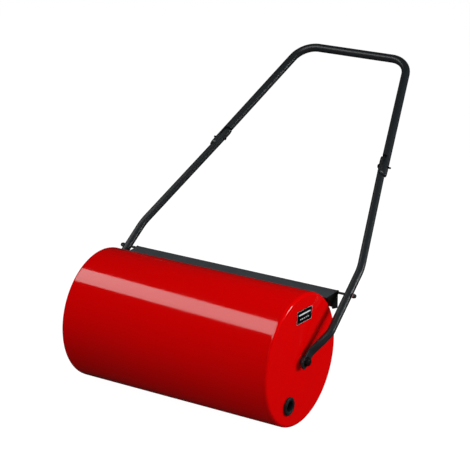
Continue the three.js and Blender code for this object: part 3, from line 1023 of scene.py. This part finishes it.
@dataclass
class Fastener:
    """Bolts, nuts and washers, drawn along X at their own radii."""

    m6_flats: float = 10.0 * MM
    m6_pitch: float = 1.0 * MM
    thread_depth: float = 0.55 * MM
    washer_edge: float = 0.3 * MM
    chamfer_start: float = 0.95  # where a head's chamfer begins, as a share of half the flats

    def hexagon(self, start: float, end: float, flats: float, both: bool, bore: float = 0.0) -> Array:
        """Gives the turned blank of a hexagon head or nut, before it is held to its flats.

        The blank's corners are cut at 30 degrees from the circle that the flats touch, so
        where the hexagon meets the cut its edges come out as arches.

        Args:
            start: The end nearer the middle of the roller.
            end: The outer end.
            flats: Width across the flats.
            both: Whether the inner end is cut as well.
            bore: Radius of the hole, 0 for a head.

        Returns:
            The grid.
        """
        touch = self.chamfer_start * flats / 2.0
        corner = flats / math.sqrt(3.0)
        cut = (corner - touch) * math.tan(math.radians(30.0))
        slope = np.linspace(0.0, 1.0, 9)
        outer = np.stack([end - cut * slope, touch + (corner - touch) * slope], axis=1)
        inner = np.stack([start + cut * slope[::-1], corner - (corner - touch) * slope], axis=1)
        if not both:
            inner = np.array([[start, corner]])
        ends = [[start, bore]], [[end, bore]]
        profile = np.concatenate([ends[1], outer, inner, ends[0]])
        return turned(profile, steps=96, flats=flats)

    def washer(self, node: str, bore: float) -> Shape:
        """Makes a washer in the place of a node, with its edges a little rounded."""
        return ring(node, bore, self.washer_edge, steps=64)

    def nut(self, node: str, flats: float, thread: float) -> Shape:
        """Makes a hexagon nut in the place of a node, from its flats and its thread's radius."""
        start, end = span(node)
        grid = self.hexagon(start, end, flats, both=True, bore=thread + 0.05 * MM)
        return Shape().add(grid, along=True)


@dataclass
class AxleEnd:
    """What holds the push bar to the drum at one end: bolt, washer and nylon bush."""

    bolt: float = 10.0 * MM  # diameter of the shank
    flats: float = 16.0 * MM
    eye_thickness: float = 5.0 * MM
    gap: float = 0.3 * MM
    head_height: float = 6.3 * MM
    bush_shoulder: float = 11.0 * MM
    bush_neck: float = 7.2 * MM

    def bolt_shape(self) -> Shape:
        """Makes the axle bolt: a hexagon head and a plain shank with a chamfered tip."""
        tip, end = span("axle_bolt_right")
        seat = end - self.head_height
        radius = self.bolt / 2.0
        bevel = 0.8 * MM
        shank = filleted(
            [
                (tip, 0.0, 0.0),
                (tip, radius - bevel, 0.0),
                (tip + bevel, radius, 0.0),
                (seat, radius, 0.0),
                (seat, 0.0, 0.0),
            ],
            closed=False,
        )
        head = Fastener().hexagon(seat, end, self.flats, both=False)
        return Shape().add(turned(shank)).add(head)

    def bush_shape(self) -> Shape:
        """Makes the bush: a shoulder against the drum and a neck inside the bar's eye."""
        start, end = span("pivot_bush_right")
        bore = self.bolt / 2.0 + self.gap / 2.0
        shoulder_end = end - self.eye_thickness - self.gap
        corners = [
            (start, bore, 0.3 * MM),
            (start, self.bush_shoulder, 0.6 * MM),
            (shoulder_end, self.bush_shoulder, 0.6 * MM),
            (shoulder_end, self.bush_neck, 0.0),
            (end, self.bush_neck, 0.3 * MM),
            (end, bore, 0.3 * MM),
        ]
        return Shape().add(turned(filleted(corners)), along=True)

    def build(self, side: Side) -> None:
        """Makes and dresses the pieces at one end."""
        place = ON_BAR @ side.mirror
        duty = Duty(BLACK_OXIDE, "drum", (f"axle_bolt_{side.word}",))
        make_piece(f"axle_hex_bolt_{side.word}", self.bolt_shape(), place, duty)
        duty = Duty(BLACK_OXIDE, "frame", (f"axle_washer_{side.word}",))
        washer = Fastener().washer("axle_washer_right", self.bolt / 2.0 + self.gap)
        make_piece(f"axle_flat_washer_{side.word}", washer, place, duty)
        duty = Duty(MOULDED_NYLON, "frame", (f"pivot_bush_{side.word}",))
        make_piece(f"axle_bush_{side.word}", self.bush_shape(), place, duty)


@dataclass
class PushBar:
    """The two lower tubes and the upper handle, in the plane (x, r) that leans from the axle."""

    lower_diameter: float = 19.7 * MM
    upper_diameter: float = 21.6 * MM
    gap: float = 0.3 * MM
    eye_x: float = 296.0 * MM
    eye_tip: float = -20.0 * MM
    eye_thickness: float = 5.0 * MM
    eye_bore: float = 7.4 * MM
    eye_flat_to: float = 22.0 * MM
    eye_round_from: float = 66.0 * MM
    foot: ClassVar[tuple] = (296.0 * MM, 26.0 * MM, 40.0 * MM)  # x, r and bend radius
    shoulder: ClassVar[tuple] = (318.6 * MM, 88.0 * MM, 45.0 * MM)
    knee: ClassVar[tuple] = (312.5 * MM, 278.0 * MM, 150.0 * MM)
    lower_slope: float = -0.257
    upper_slope: float = -0.2426
    face: float = 237.6 * MM  # where the two pressed tubes meet
    lower_tip: float = 612.0 * MM
    upper_tip: float = 553.0 * MM
    joint_r: float = 582.0 * MM
    past: float = 0.6 * MM  # how far each flat runs past the other tube's tip
    ramp: float = 3.0 * MM
    tip_length: float = 3.0 * MM  # over which a tip is domed onto the flat
    square_tip: float = 20.0 * MM  # over which a tube's sections turn square to r
    joint_bore: float = 2.8 * MM
    access_bore: float = 5.5 * MM  # lets the nut in through the outer wall
    wall: float = 1.5 * MM
    drill_past: float = 5.0 * MM  # from the face inwards, where a bolt's hole begins
    drill_run: float = 40.0 * MM  # from the face outwards, where the holes end
    eye_drill: float = 8.0 * MM  # to each side of the eye
    tip_run: float = 12.0 * MM  # at each tip, where the path's steps shrink
    lap_fine: tuple = (12.0 * MM, 4.0 * MM)  # close steps before and after a lap's shoulder
    grip_r: float = 927.7 * MM
    grip_half: float = 155.5 * MM
    grip_bend: float = 60.0 * MM

    def lower_x(self, r: float) -> float:
        """Gives x of the lower tube's centre line above its knee."""
        return self.knee[0] + self.lower_slope * (r - self.knee[1])

    def upper_x(self, r: float) -> float:
        """Gives x of the handle's right leg."""
        return self.grip_half + self.upper_slope * (r - self.grip_r)

    @staticmethod
    def lapped(
        grid: Array, centre: Array, radius: float, limit: Array, tip: Array, outward: float
    ) -> Array:
        """Presses away what lies beyond the joint's face, so that a tube's section is a D.

        Points past the limit move onto it, and their height over the plane is held to half
        the chord there: the root of radius squared less the square of the limit's distance
        from the centre line. Near the tip the distance from the limit shrinks with the dome.

        Args:
            grid: The tube's grid, in (x, r, height).
            centre: The centre line's x at each point.
            radius: The tube's radius.
            limit: The x at each point that the tube may not pass.
            tip: How open the dome at the tip is, from 0 to 1, at each row.
            outward: 1 where x over the limit is pressed away, -1 where x under it is.

        Returns:
            The pressed grid.
        """
        x, r, height = np.moveaxis(grid, -1, 0)
        beyond = (x - limit) * outward > 0.0
        chord = np.sqrt(np.maximum(radius**2 - (limit - centre) ** 2, 0.0))
        x = np.where(beyond, limit, limit + (x - limit) * tip)
        height = np.where(beyond, np.clip(height, -chord, chord), height)
        return np.stack([x, r, height], axis=-1)

    def lower_tube(self) -> Shape:
        """Makes a lower tube: flat at the axle, bent three times, lapped at the joint.

        Where it is flattened, half its perimeter stays the same: the half width is the half
        thickness plus a quarter of pi times what the diameter lost.
        """
        corners = np.array(
            [
                (self.eye_x, self.eye_tip, 0.0),
                self.foot,
                self.shoulder,
                self.knee,
                (self.lower_x(self.lower_tip), self.lower_tip, 0.0),
            ]
        )
        path = rounded(corners[:, :2], corners[:, 2], closed=False, steps=14)
        path = resampled(path, 3.0 * MM, tips=self.tip_run)
        path = refined(path, self.upper_tip - self.lap_fine[0], self.upper_tip + self.lap_fine[1])
        r = path[:, 1]
        radius = self.lower_diameter / 2.0
        pressed = 1.0 - smoothstep(r, self.eye_flat_to, self.eye_round_from)
        half = radius + (self.eye_thickness / 2.0 - radius) * pressed
        wide = half + math.pi / 4.0 * (self.lower_diameter - 2.0 * half)
        from_eye, from_tip = r - self.eye_tip, self.lower_tip - r
        half = half * dome(from_eye, 1.6 * MM)
        wide = wide * dome(from_eye, 13.0 * MM) * dome(from_tip, radius)
        grid = swept(path, half, wide, smoothstep(from_tip, 0.0, self.square_tip))
        flat = self.upper_tip - self.past
        centre = self.lower_x(grid[..., 1])
        face = self.face - self.gap / 2.0
        slack = 1.0 - smoothstep(grid[..., 1], flat - self.ramp, flat)
        limit = face + (centre + self.lower_diameter - face) * slack
        tip = dome(from_tip, self.tip_length)[:, None]
        upper = from_tip[:, None] < self.lower_tip - self.upper_tip
        limit = np.where(upper, face, limit)
        lapped = self.lapped(grid, centre, radius, limit, tip, outward=1.0)
        return Shape().add(np.where((grid[..., 1] > flat - self.ramp)[..., None], lapped, grid))

    def handle(self) -> Shape:
        """Makes the handle: two legs and the grip between them, lapped at both ends."""
        tip = self.upper_x(self.upper_tip)
        corners = np.array(
            [
                (tip, self.upper_tip),
                (self.grip_half, self.grip_r),
                (-self.grip_half, self.grip_r),
                (-tip, self.upper_tip),
            ]
        )
        path = rounded(corners, np.full(4, self.grip_bend), closed=False, steps=20)
        path = resampled(path, 4.0 * MM, tips=self.tip_run)
        path = refined(path, self.lower_tip - self.lap_fine[1], self.lower_tip + self.lap_fine[0])
        radius = self.upper_diameter / 2.0
        from_tip = path[:, 1] - self.upper_tip
        half = np.full_like(from_tip, radius)
        wide = radius * dome(from_tip, radius)
        grid = swept(path, half, wide, smoothstep(from_tip, 0.0, self.square_tip))
        flat = self.lower_tip + self.past
        side = np.sign(path[:, :1]) * np.ones(grid.shape[1])
        centre = self.upper_x(grid[..., 1])
        face = self.face + self.gap / 2.0
        slack = smoothstep(grid[..., 1], flat, flat + self.ramp)
        limit = face + (centre - self.upper_diameter - face) * slack
        mirrored = grid * np.stack([side, np.ones_like(side), np.ones_like(side)], axis=-1)
        tip = dome(from_tip, self.tip_length)[:, None]
        lapped = self.lapped(mirrored, centre, radius, limit, tip, outward=-1.0)
        lapped[..., 0] *= side
        return Shape().add(np.where((grid[..., 1] < flat + self.ramp)[..., None], lapped, grid))

    def joint_drills(self) -> tuple[Drill, ...]:
        """Gives the holes at the handle's ends: the bolt's, and the wider one that lets the nut in."""
        far = self.face + self.drill_run
        bolt_hole = (self.face - self.drill_past, self.joint_bore)
        nut_hole = (self.face + self.wall, self.access_bore)
        return tuple(
            Drill(side.value * start, side.value * far, radius, y=self.joint_r)
            for side in Side
            for start, radius in (bolt_hole, nut_hole)
        )

    def build(self) -> None:
        """Makes and dresses the tubes."""
        eye = Drill(self.eye_x - self.eye_drill, self.eye_x + self.eye_drill, self.eye_bore)
        for side in Side:
            duty = Duty(POWDER_COAT, "frame", (f"lower_tube_{side.word}",))
            make_piece(f"bent_tube_{side.word}", self.lower_tube(), ON_BAR @ side.mirror, duty, (eye,))
        duty = Duty(POWDER_COAT, "handle", ("upper_handle",))
        make_piece("bent_handle", self.handle(), ON_BAR, duty, self.joint_drills())


@dataclass
class FoldJoint:
    """The bolt and nut that the handle folds on, at one side."""

    bolt: float = 2.5 * MM  # radius
    pitch: float = 0.8 * MM
    thread_depth: float = 0.45 * MM
    nut_flats: float = 8.0 * MM
    head: float = 5.2 * MM  # radius of the domed head
    head_height: float = 1.0 * MM
    seat: float = 2.8 * MM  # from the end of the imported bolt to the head's rim
    shortfall: float = 3.0 * MM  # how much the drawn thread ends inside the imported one
    rim: float = 0.8 * MM
    plain: float = 16.0 * MM  # shank without thread, from under the head

    def bolt_shape(self) -> Shape:
        """Makes the joint bolt: a low dome, a shank and a thread that stands out at the far side."""
        start, end = span("joint_bolt_right")
        end -= self.shortfall
        radius = self.bolt
        seat = start + self.seat
        under = seat + self.rim
        bevel = 0.6 * MM
        bow = np.linspace(0.0, math.pi / 2.0, 10)
        cap = np.stack([seat - self.head_height * np.cos(bow), self.head * np.sin(bow)], axis=1)
        shoulder = np.array([(under, self.head), (under, radius)])
        shank = np.array([(under, radius), (end - bevel, radius), (end, radius - bevel), (end, 0.0)])
        shank = resampled(shank, self.pitch / 8.0)
        grid = turned(np.concatenate([cap, shoulder, shank]), steps=48)
        return Shape().add(threaded(grid, under + self.plain, self.pitch, self.thread_depth))

    def build(self, side: Side) -> None:
        """Makes and dresses the fasteners at one side."""
        place = AT_FOLD @ side.mirror
        duty = Duty(BLACK_OXIDE, "frame", (f"joint_bolt_{side.word}",))
        make_piece(f"fold_bolt_{side.word}", self.bolt_shape(), place, duty)
        nut = Fastener().nut("joint_nut_right", self.nut_flats, self.bolt)
        duty = Duty(BLACK_OXIDE, "frame", (f"joint_nut_{side.word}",))
        make_piece(f"fold_nut_{side.word}", nut, place, duty)


@dataclass
class Scraper:
    """The scraper: a bent sheet with an end plate at each side, hung on a rod."""

    sheet: float = 1.5 * MM
    bend: float = 2.6 * MM
    rod: float = 3.0 * MM  # radius
    gap: float = 0.3 * MM
    blade_gap: float = 1.4 * MM  # from the drum to the blade's edge
    side_gap: float = 4.2 * MM  # from the drum to the edge of an end plate
    heel: float = 6.0 * MM  # from an end plate's foot up to where it meets the drum's curve
    foot: float = 0.5 * MM  # how far an end plate stops above the sheet's lower edge
    toe: float = 1.0 * MM  # width of an end plate at its foot
    plate_gap: float = 0.05 * MM  # between an end plate and the sheet over it
    drill_past: float = 5.0 * MM
    thread_from: float = 20.0 * MM  # from the drum's face to where the rod's thread begins
    cap_skirt: float = 1.2 * MM

    def limits(self) -> tuple[float, float, float, float]:
        """Gives the top, bottom, rear and half length of the sheet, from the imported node."""
        low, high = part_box("scraper_blade")
        return high.z - AXLE[2], low.z - AXLE[2], high.y - AXLE[1], high.x

    def angle_shape(self) -> Shape:
        """Makes the bent sheet: its middle line with a rounded bend, given a thickness.

        The outer and inner lines are the middle line moved half the sheet along its normal,
        and together they close the section that is carried along X.
        """
        top, bottom, rear, half = self.limits()
        middle = self.sheet / 2.0
        blade = math.sqrt((DRUM_RADIUS + self.blade_gap) ** 2 - (top - self.sheet) ** 2)
        corners = np.array([(blade, top - middle), (rear - middle, top - middle), (rear - middle, bottom)])
        line = rounded(corners, np.full(3, self.bend), closed=False, steps=10)
        run = unit(np.diff(line, axis=0))
        along = unit(np.concatenate([run[:1], run]) + np.concatenate([run, run[-1:]]))
        normal = np.stack([-along[:, 1], along[:, 0]], axis=1)
        outer, inner = line + normal * middle, line - normal * middle
        section = np.concatenate([outer, inner[::-1]])
        ends = np.array([-half, half])
        grid = np.stack([np.insert(section, 0, x, axis=1) for x in ends])
        shape = Shape().add(grid)
        for x in ends:
            cap = np.stack([np.insert(outer, 0, x, axis=1), np.insert(inner, 0, x, axis=1)])
            shape.add(cap, around=False)
        return shape

    def gusset_shape(self) -> Shape:
        """Makes an end plate: from its rear edge to a front edge that follows the drum.

        At a height z the front edge is where the drum's circle, widened by the gap, passes.
        Below the heel the edge runs straight back to the rear edge's foot.
        """
        top, bottom, rear, half = self.limits()
        back = rear - self.sheet
        z = np.linspace(top - self.sheet - self.plate_gap, bottom + self.foot, 60)
        clear = DRUM_RADIUS + self.side_gap
        heel = bottom + self.heel
        curve = np.sqrt(clear**2 - np.maximum(z, heel) ** 2)
        drop = np.clip((heel - z) / (heel - z[-1]), 0.0, 1.0)
        front = curve + (back - self.toe - curve) * drop
        share = np.linspace(0.0, 1.0, 8)[None, :]
        y = front[:, None] + (back - front[:, None]) * share
        heights = np.repeat(z[:, None], share.shape[1], axis=1)
        shape = Shape()
        faces = [np.stack([np.full_like(y, x), y, heights], axis=-1) for x in (half - self.sheet, half)]
        for face in faces:
            shape.add(face, around=False)
        rim = [np.concatenate([f[0, :-1], f[:-1, -1], f[-1, :0:-1], f[:0:-1, 0]]) for f in faces]
        return shape.add(np.stack(rim))

    def rod_drill(self) -> Drill:
        """Gives the rod's hole through an end plate."""
        half = self.limits()[3]
        y, z = ROD[1] - AXLE[1], ROD[2] - AXLE[2]
        past = self.drill_past
        return Drill(half - past, half + past, self.rod + self.gap, y=y, z=z)

    def rod_shape(self) -> Shape:
        """Makes the rod, with its ends threaded from inside each nut outwards."""
        start, end = span("scraper_rod")
        hardware = Fastener()
        chamfer = 0.6 * MM
        radius = self.rod
        profile = np.array(
            [
                (start, 0.0),
                (start, radius - chamfer),
                (start + chamfer, radius),
                (end - chamfer, radius),
                (end, radius - chamfer),
                (end, 0.0),
            ]
        )
        threads = np.arange(DISC_FACE + self.thread_from, end - chamfer, hardware.m6_pitch / 8.0)
        stations = np.stack([threads, np.full_like(threads, radius)], axis=1)
        profile = np.concatenate([profile[:3], -stations[::-1] * [1.0, -1.0], stations, profile[3:]])
        grid = turned(profile, steps=48)
        grid = threaded(grid, threads[0], hardware.m6_pitch, hardware.thread_depth)
        flipped = threaded(grid * [-1.0, 1.0, 1.0], threads[0], hardware.m6_pitch, hardware.thread_depth)
        return Shape().add(flipped * [-1.0, 1.0, 1.0])

    def cap_shape(self) -> Shape:
        """Makes the moulded cap on the rod's end: a dome over a short skirt, with a blind bore."""
        start, end = span("rod_cap_right")
        outer = reach("rod_cap_right")
        depth = span("scraper_rod")[1] + self.gap
        bow = np.linspace(0.0, math.pi / 2.0, 12)
        skirt = start + self.cap_skirt
        shell = np.stack([skirt + (end - skirt) * np.sin(bow), outer * np.cos(bow)], axis=1)
        bore = self.rod + self.gap
        hollow = np.array([(depth, 0.0), (depth, bore), (start, bore), (start, outer)])
        return Shape().add(turned(np.concatenate([hollow, shell]), steps=64))

    def build(self) -> None:
        """Makes and dresses the scraper, its rod and the rod's fasteners."""
        # The angle wears the black coat painted lighter grey, as painted light on its top.
        painted_lit_duty = Duty(PAINTED_LIT_COAT, "scraper", ("scraper_blade",))
        # The end plates wear the black coat painted deeper black, as painted shade.
        painted_shade_duty = Duty(PAINTED_SHADE_COAT, "scraper", ("scraper_blade",))
        make_piece("scraper_angle", self.angle_shape(), AT_AXLE, painted_lit_duty)
        make_piece("scraper_rod_bar", self.rod_shape(), AT_ROD, Duty(BLACK_OXIDE, "frame", ("scraper_rod",)))
        hardware = Fastener()
        for side in Side:
            cheek = self.gusset_shape()
            make_piece(f"scraper_cheek_{side.word}", cheek, AT_AXLE @ side.mirror, painted_shade_duty, (self.rod_drill(),))
            place = AT_ROD @ side.mirror
            clip = hardware.washer("rod_clip_right", self.rod + self.gap)
            duty = Duty(BLACK_OXIDE, "frame", (f"rod_clip_{side.word}",))
            make_piece(f"rod_stop_{side.word}", clip, place, duty)
            nut = hardware.nut("rod_nut_right", hardware.m6_flats, self.rod)
            duty = Duty(BRIGHT_ZINC, "frame", (f"rod_nut_{side.word}",))
            make_piece(f"rod_hex_nut_{side.word}", nut, place, duty)
            duty = Duty(MOULDED_NYLON, "frame", (f"rod_cap_{side.word}",))
            make_piece(f"rod_end_cap_{side.word}", self.cap_shape(), place, duty)


# ---- studio -----------------------------------------------------------------------------


@dataclass(frozen=True)
class Softbox:
    """A rectangular light that looks at the drum, with its width lying along a direction."""

    name: str
    place: tuple[float, float, float]
    along: tuple[float, float, float]
    width: float
    height: float
    glow: float  # radiance of its face
    mirrored: bool = True  # whether glossy surfaces show it

    def build(self) -> None:
        """Makes the light; its power is its radiance times pi times its area."""
        lamp = bpy.data.lights.new(self.name, "AREA")
        lamp.shape = "RECTANGLE"
        lamp.size, lamp.size_y = self.width, self.height
        lamp.energy = self.glow * math.pi * self.width * self.height
        light = linked(self.name, lamp)
        back = (Vector(self.place) - Vector(AXLE)).normalized()
        along = Vector(self.along)
        along = (along - back * along.dot(back)).normalized()
        turn = Matrix((along, back.cross(along), back)).transposed()
        light.matrix_world = Matrix.Translation(self.place) @ turn.to_4x4()
        light.visible_glossy = self.mirrored


@dataclass
class Studio:
    """A pale floor, soft lights, a dim surround and the camera."""

    floor_size: float = 40.0
    floor_drop: float = 0.4 * MM
    floor_colour: str = "#606060"
    floor_glow: float = 0.985  # the paper's own brightness, which leaves only a faint shadow
    azimuth: float = math.radians(31.82)
    elevation: float = math.radians(19.98)
    distance: float = 4.283
    aim_right: float = 88.8 * MM  # how far right of the drum's centre the view is centred
    aim_up: float = 237.2 * MM
    lens: float = 137.8
    sensor: float = 36.0
    surround_lit: float = 0.05  # radiance that reaches matt surfaces from above
    surround_below: float = 0.38  # and from below, thrown back by the pale floor
    surround_blend: float = 0.6  # height, as a share of the way up, over which the two meet
    surround_seen: float = 1.0
    surround_mirrored: float = 0.008

    def build_floor(self) -> None:
        """Makes the floor: a large level square, left out of bounces so that the red stays pure."""
        half = self.floor_size / 2.0
        steps = np.linspace(-half, half, 9)
        x, y = np.meshgrid(steps, steps, indexing="ij")
        grid = np.stack([x, y, np.full_like(x, -self.floor_drop)], axis=-1)
        mesh = Shape().add(grid, around=False).mesh("studio_floor", np.eye(4))
        paper = bpy.data.materials.new("matt_studio_paper")
        paper.use_nodes = True
        tree = paper.node_tree
        tree.nodes.clear()
        point = add_node(tree, "ShaderNodeTexCoord").outputs["Object"]
        fibre = add_node(tree, "ShaderNodeTexNoise", {"Vector": point, "Scale": 1.0 / (4.0 * MM)})
        bump = add_node(
            tree,
            "ShaderNodeBump",
            {"Strength": 0.1, "Distance": 0.02 * MM, "Height": fibre.outputs["Fac"]},
        )
        shader = add_node(
            tree,
            "ShaderNodeBsdfPrincipled",
            {
                "Base Color": linear(self.floor_colour),
                "Roughness": 1.0,
                "Specular IOR Level": 0.0,
                "Emission Color": (1.0, 1.0, 1.0, 1.0),
                "Emission Strength": self.floor_glow,
                "Normal": bump.outputs["Normal"],
            },
        )
        add_node(tree, "ShaderNodeOutputMaterial", {"Surface": shader.outputs["BSDF"]})
        mesh.materials.append(paper)
        floor = linked("studio_floor", mesh)
        floor.visible_diffuse = False
        floor.visible_glossy = False

    def build_surround(self) -> None:
        """Makes the surround: white where it is seen, dim on matt surfaces, dark in reflections."""
        world = bpy.data.worlds.new("studio_surround")
        world.use_nodes = True
        tree = world.node_tree
        tree.nodes.clear()
        point = add_node(tree, "ShaderNodeTexCoord").outputs["Generated"]
        height = add_node(tree, "ShaderNodeSeparateXYZ", {"Vector": point}).outputs["Z"]
        lit = add_node(
            tree,
            "ShaderNodeMapRange",
            {
                "Value": height,
                "From Min": -self.surround_blend,
                "From Max": self.surround_blend,
                "To Min": self.surround_below,
                "To Max": self.surround_lit,
            },
        )
        path = add_node(tree, "ShaderNodeLightPath")
        strength = lit.outputs["Result"]
        for ray, level in (("Is Glossy Ray", self.surround_mirrored), ("Is Camera Ray", self.surround_seen)):
            strength = add_node(
                tree,
                "ShaderNodeMix",
                {"Factor": path.outputs[ray], "A": strength, "B": level},
                data_type="FLOAT",
            ).outputs["Result"]
        glow = add_node(tree, "ShaderNodeBackground", {"Color": (1.0, 1.0, 1.0, 1.0), "Strength": strength})
        add_node(tree, "ShaderNodeOutputWorld", {"Surface": glow.outputs["Background"]})
        bpy.context.scene.world = world

    def build_camera(self) -> None:
        """Makes the camera, aimed a little right of the drum and above it."""
        sin_a, cos_a = math.sin(self.azimuth), math.cos(self.azimuth)
        sin_e, cos_e = math.sin(self.elevation), math.cos(self.elevation)
        back = Vector((sin_a * cos_e, -cos_a * cos_e, sin_e))
        right = Vector((cos_a, sin_a, 0.0))
        up = back.cross(right)
        target = Vector(AXLE) + right * self.aim_right + up * self.aim_up
        data = bpy.data.cameras.new("camera")
        data.lens, data.sensor_width = self.lens, self.sensor
        camera = linked("camera", data)
        camera.location = target + back * self.distance
        camera.rotation_euler = (-back).to_track_quat("-Z", "Y").to_euler()
        bpy.context.scene.camera = camera

    def build(self) -> None:
        """Makes the camera, the floor, the surround and the lights."""
        self.build_camera()
        self.build_floor()
        self.build_surround()
        boxes = [
            Softbox("long_box", (-0.57, -0.79, 2.0), (0.92, -0.4, 0.0), 3.8, 0.75, 3.6),
            Softbox("side_box", (2.2, 0.88, 0.98), (-0.37, 0.93, 0.0), 1.3, 1.3, 8.1, mirrored=False),
            Softbox("front_fill", (0.8, -1.6, 1.44), (1.0, 0.5, 0.0), 1.2, 1.2, 3.0, mirrored=False),
            Softbox("glint_box", (2.2, 1.35, 0.95), (-0.5, 0.85, 0.0), 0.35, 0.35, 30.0),
        ]
        for box in boxes:
            box.build()
        bpy.context.scene.view_settings.view_transform = "Standard"


def main() -> None:
    """Builds the studio and then the roller, one sub-assembly after another."""
    logging.basicConfig(level=logging.INFO, format="%(message)s")
    Studio().build()
    Drum().build()
    Bung().build()
    PushBar().build()
    for side in Side:
        AxleEnd().build(side)
        FoldJoint().build(side)
    Scraper().build()


if __name__ == "__main__":
    main()
